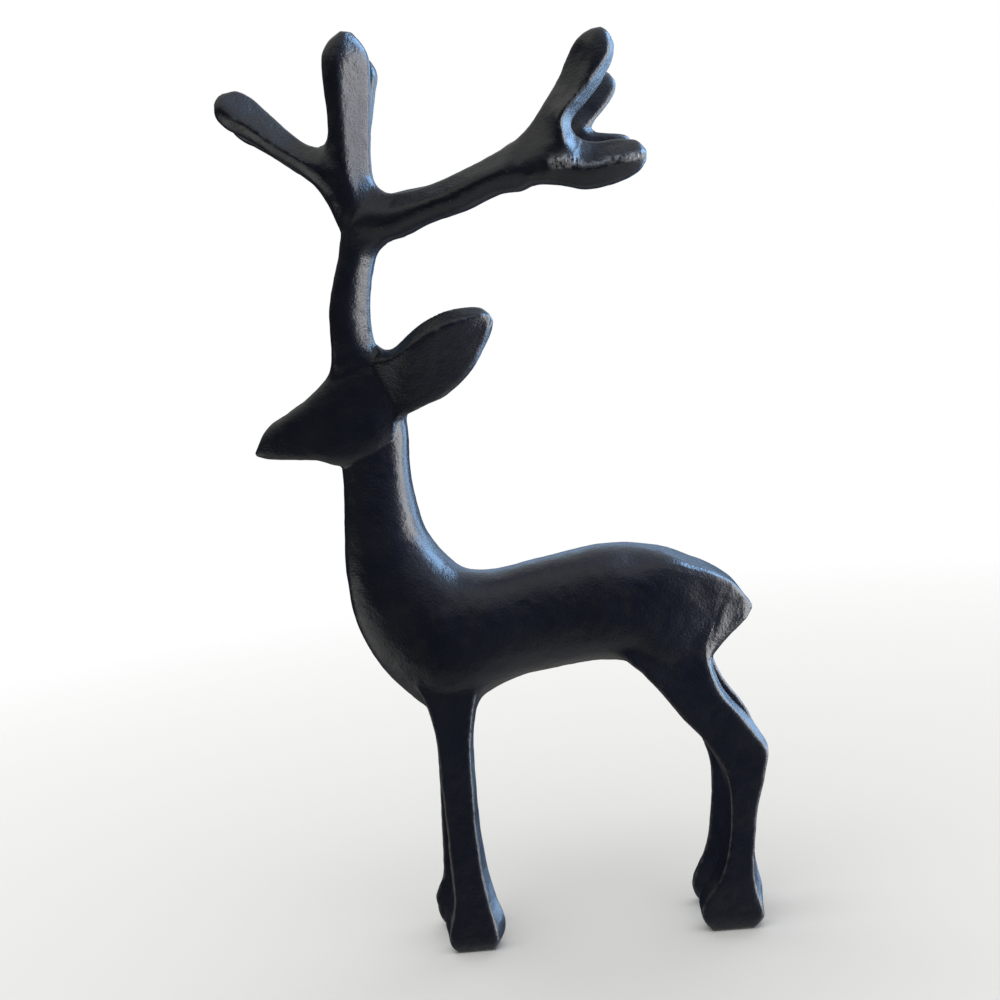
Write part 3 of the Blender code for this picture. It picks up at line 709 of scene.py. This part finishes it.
def noise_node(spacing_mm, detail, roughness=0.5):
    """A noise pattern in object space whose lumps are about this far apart."""
    node = nodes.new("ShaderNodeTexNoise")
    node.inputs["Scale"].default_value = 1.0 / metre(spacing_mm)
    node.inputs["Detail"].default_value = detail
    node.inputs["Roughness"].default_value = roughness
    links.new(place.outputs["Object"], node.inputs["Vector"])
    return node.outputs["Fac"]


def range_node(source, low, high, new_low, new_high):
    """Carries a value from one range to another, cut off at the ends."""
    node = nodes.new("ShaderNodeMapRange")
    node.inputs["From Min"].default_value = low
    node.inputs["From Max"].default_value = high
    node.inputs["To Min"].default_value = new_low
    node.inputs["To Max"].default_value = new_high
    links.new(source, node.inputs["Value"])
    return node.outputs["Result"]


def mix_node(share, first, second):
    """The first colour where the share is 0, the second where it is 1. Each is a colour or a socket."""
    node = nodes.new("ShaderNodeMix")
    node.data_type = "RGBA"
    links.new(share, node.inputs["Factor"])
    for name, value in (("A", first), ("B", second)):
        if isinstance(value, tuple):
            node.inputs[name].default_value = value
        else:
            links.new(value, node.inputs[name])
    return node.outputs["Result"]


bump = nodes.new("ShaderNodeBump")
bump.inputs["Strength"].default_value = 1.0
bump.inputs["Distance"].default_value = metre(GRAIN_DEPTH)
links.new(noise_node(GRAIN_SPACING, 2.0, 0.55), bump.inputs["Height"])
links.new(bump.outputs["Normal"], shader.inputs["Normal"])

gloss = range_node(noise_node(22.0, 3.0, 0.6), 0.3, 0.7, *PAINT_ROUGHNESS)
links.new(gloss, shader.inputs["Roughness"])

# Bare iron, as metal and in colour, where the attribute and a noise allow: wear on the arrises and painted
# highlights.
wear_and_highlight_node = nodes.new("ShaderNodeAttribute")
wear_and_highlight_node.attribute_name = "wear_and_highlight"
wear_and_highlight_share = nodes.new("ShaderNodeMath")
wear_and_highlight_share.operation = "MULTIPLY"
links.new(wear_and_highlight_node.outputs["Fac"], wear_and_highlight_share.inputs[0])
links.new(range_node(noise_node(2.6, 3.0, 0.7), 0.42, 0.66, 0.0, 1.0), wear_and_highlight_share.inputs[1])
links.new(wear_and_highlight_share.outputs["Value"], shader.inputs["Metallic"])

dust = range_node(noise_node(9.0, 5.0, 0.65), 0.55, 0.8, 0.0, 1.0)
painted = mix_node(dust, PAINT_COLOUR, DUSTY_COLOUR)
links.new(mix_node(wear_and_highlight_share.outputs["Value"], painted, IRON_AND_HIGHLIGHT_COLOUR), shader.inputs["Base Color"])
stag.data.materials.append(paint)


# The floor is a plain pale surface that fades into the white behind it.
# It is left out of the paint's reflections, where the light from below has been set apart from it.

FLOOR_COLOUR = (0.80, 0.80, 0.80, 1.0)
FLOOR_RADIUS = 1.6          # metres
FADE_START, FADE_END = 0.10, 0.75

spokes = np.linspace(0, 2 * np.pi, 97)[:-1]
rim = np.stack([np.cos(spokes), np.sin(spokes), 0 * spokes], axis=1) * FLOOR_RADIUS
floor = mesh_object("floor", rim, [list(range(96))])
floor.visible_glossy = False
floor.visible_shadow = False

floor_paint = bpy.data.materials.new("pale_floor")
floor_paint.use_nodes = True
nodes, links = floor_paint.node_tree.nodes, floor_paint.node_tree.links
place = nodes.new("ShaderNodeTexCoord")
reach = nodes.new("ShaderNodeVectorMath")
reach.operation = "LENGTH"
links.new(place.outputs["Object"], reach.inputs[0])
shade = nodes["Principled BSDF"]
shade.inputs["Base Color"].default_value = FLOOR_COLOUR
shade.inputs["Roughness"].default_value = 0.9
shade.inputs["Specular IOR Level"].default_value = 0.0
links.new(range_node(reach.outputs["Value"], FADE_START, FADE_END, 1.0, 0.0), shade.inputs["Alpha"])
floor.data.materials.append(floor_paint)


# Soft studio light: a neutral softbox on the stag's right, bluish ones behind it and above, and a weak one
# on the left, in a room whose walls are dark at eye level and paler overhead and below. Nothing lights the
# side towards the camera, so the paint stays dark there. The floor has a wash of its own.

MIDDLE = mathutils.Vector((0.0, 0.0, 0.16))
iron_only = bpy.data.collections.new("iron_only")
iron_only.objects.link(stag)
floor_only = bpy.data.collections.new("floor_only")
floor_only.objects.link(floor)


def softbox(name, turn, rise, away, width, height, colour, radiance, lit):
    """A rectangular light turned to the stag's middle and this far from it, in metres.

    Turn and rise are the degrees from straight behind the stag towards its right, and above its middle.
    Radiance is what the light looks like in a perfect mirror.
    """
    lamp = bpy.data.lights.new(name, "AREA")
    lamp.shape = "RECTANGLE"
    lamp.size, lamp.size_y = width, height
    lamp.color = colour
    lamp.energy = radiance * np.pi * width * height
    box = bpy.data.objects.new(name, lamp)
    turn, rise = np.radians((turn, rise))
    ahead = mathutils.Vector((np.sin(turn) * np.cos(rise), np.cos(turn) * np.cos(rise), np.sin(rise)))
    box.location = MIDDLE + ahead * away
    box.rotation_mode = "QUATERNION"
    box.rotation_quaternion = ahead.to_track_quat("Z", "Y")
    box.visible_camera = False
    box.light_linking.receiver_collection = lit
    box.light_linking.blocker_collection = iron_only
    bpy.context.scene.collection.objects.link(box)


softbox("window", 100, -4, 0.85, 0.75, 0.85, (1.0, 0.99, 0.99), 8.5, iron_only)
softbox("sky", 82, 38, 0.95, 0.80, 0.42, (0.33, 0.60, 1.0), 18.0, iron_only)
softbox("back", 50, 0, 0.90, 0.50, 0.80, (0.42, 0.67, 1.0), 6.5, iron_only)
softbox("behind", 8, 18, 0.95, 0.80, 0.45, (0.45, 0.68, 1.0), 1.3, iron_only)
softbox("left_fill", -100, -22, 0.90, 0.90, 0.42, (1.0, 1.0, 0.95), 1.1, iron_only)
softbox("floor_wash", 0, 90, 1.80, 3.0, 3.0, (1.0, 1.0, 1.0), 1.05, floor_only)

EYE_LEVEL = (0.018, 0.022, 0.038, 1.0)
OVERHEAD = (0.78, 0.78, 0.74, 1.0)
BELOW = (0.50, 0.49, 0.46, 1.0)

world = bpy.data.worlds.new("studio")
bpy.context.scene.world = world
world.use_nodes = True
nodes, links = world.node_tree.nodes, world.node_tree.links
place = nodes.new("ShaderNodeTexCoord")
axes = nodes.new("ShaderNodeSeparateXYZ")
links.new(place.outputs["Generated"], axes.inputs["Vector"])
above = mix_node(range_node(axes.outputs["Z"], 0.20, 0.75, 0.0, 1.0), EYE_LEVEL, OVERHEAD)
walls = mix_node(range_node(axes.outputs["Z"], -0.35, -0.90, 0.0, 1.0), above, BELOW)
room = nodes["Background"]
links.new(walls, room.inputs["Color"])
white = nodes.new("ShaderNodeBackground")
white.inputs["Color"].default_value = (1.0, 1.0, 1.0, 1.0)
seen = nodes.new("ShaderNodeLightPath")
either = nodes.new("ShaderNodeMixShader")
links.new(seen.outputs["Is Camera Ray"], either.inputs["Fac"])
links.new(room.outputs["Background"], either.inputs[1])
links.new(white.outputs["Background"], either.inputs[2])
links.new(either.outputs["Shader"], nodes["World Output"].inputs["Surface"])
bpy.context.scene.view_settings.view_transform = "Standard"


# The camera stands level with the stag's head, a little behind its shoulder, and is tilted slightly.

CAMERA_PLACE = (0.04265, -0.455, 0.20008)
CAMERA_TURN = (84.650, 7.161, 4.629)    # degrees about X, Y and Z
CAMERA_LENS = 46.8

camera_data = bpy.data.cameras.new("camera")
camera_data.lens = CAMERA_LENS
camera_data.clip_start = 0.01
camera = bpy.data.objects.new("camera", camera_data)
camera.location = CAMERA_PLACE
camera.rotation_euler = np.radians(CAMERA_TURN)
bpy.context.scene.collection.objects.link(camera)
bpy.context.scene.camera = camera
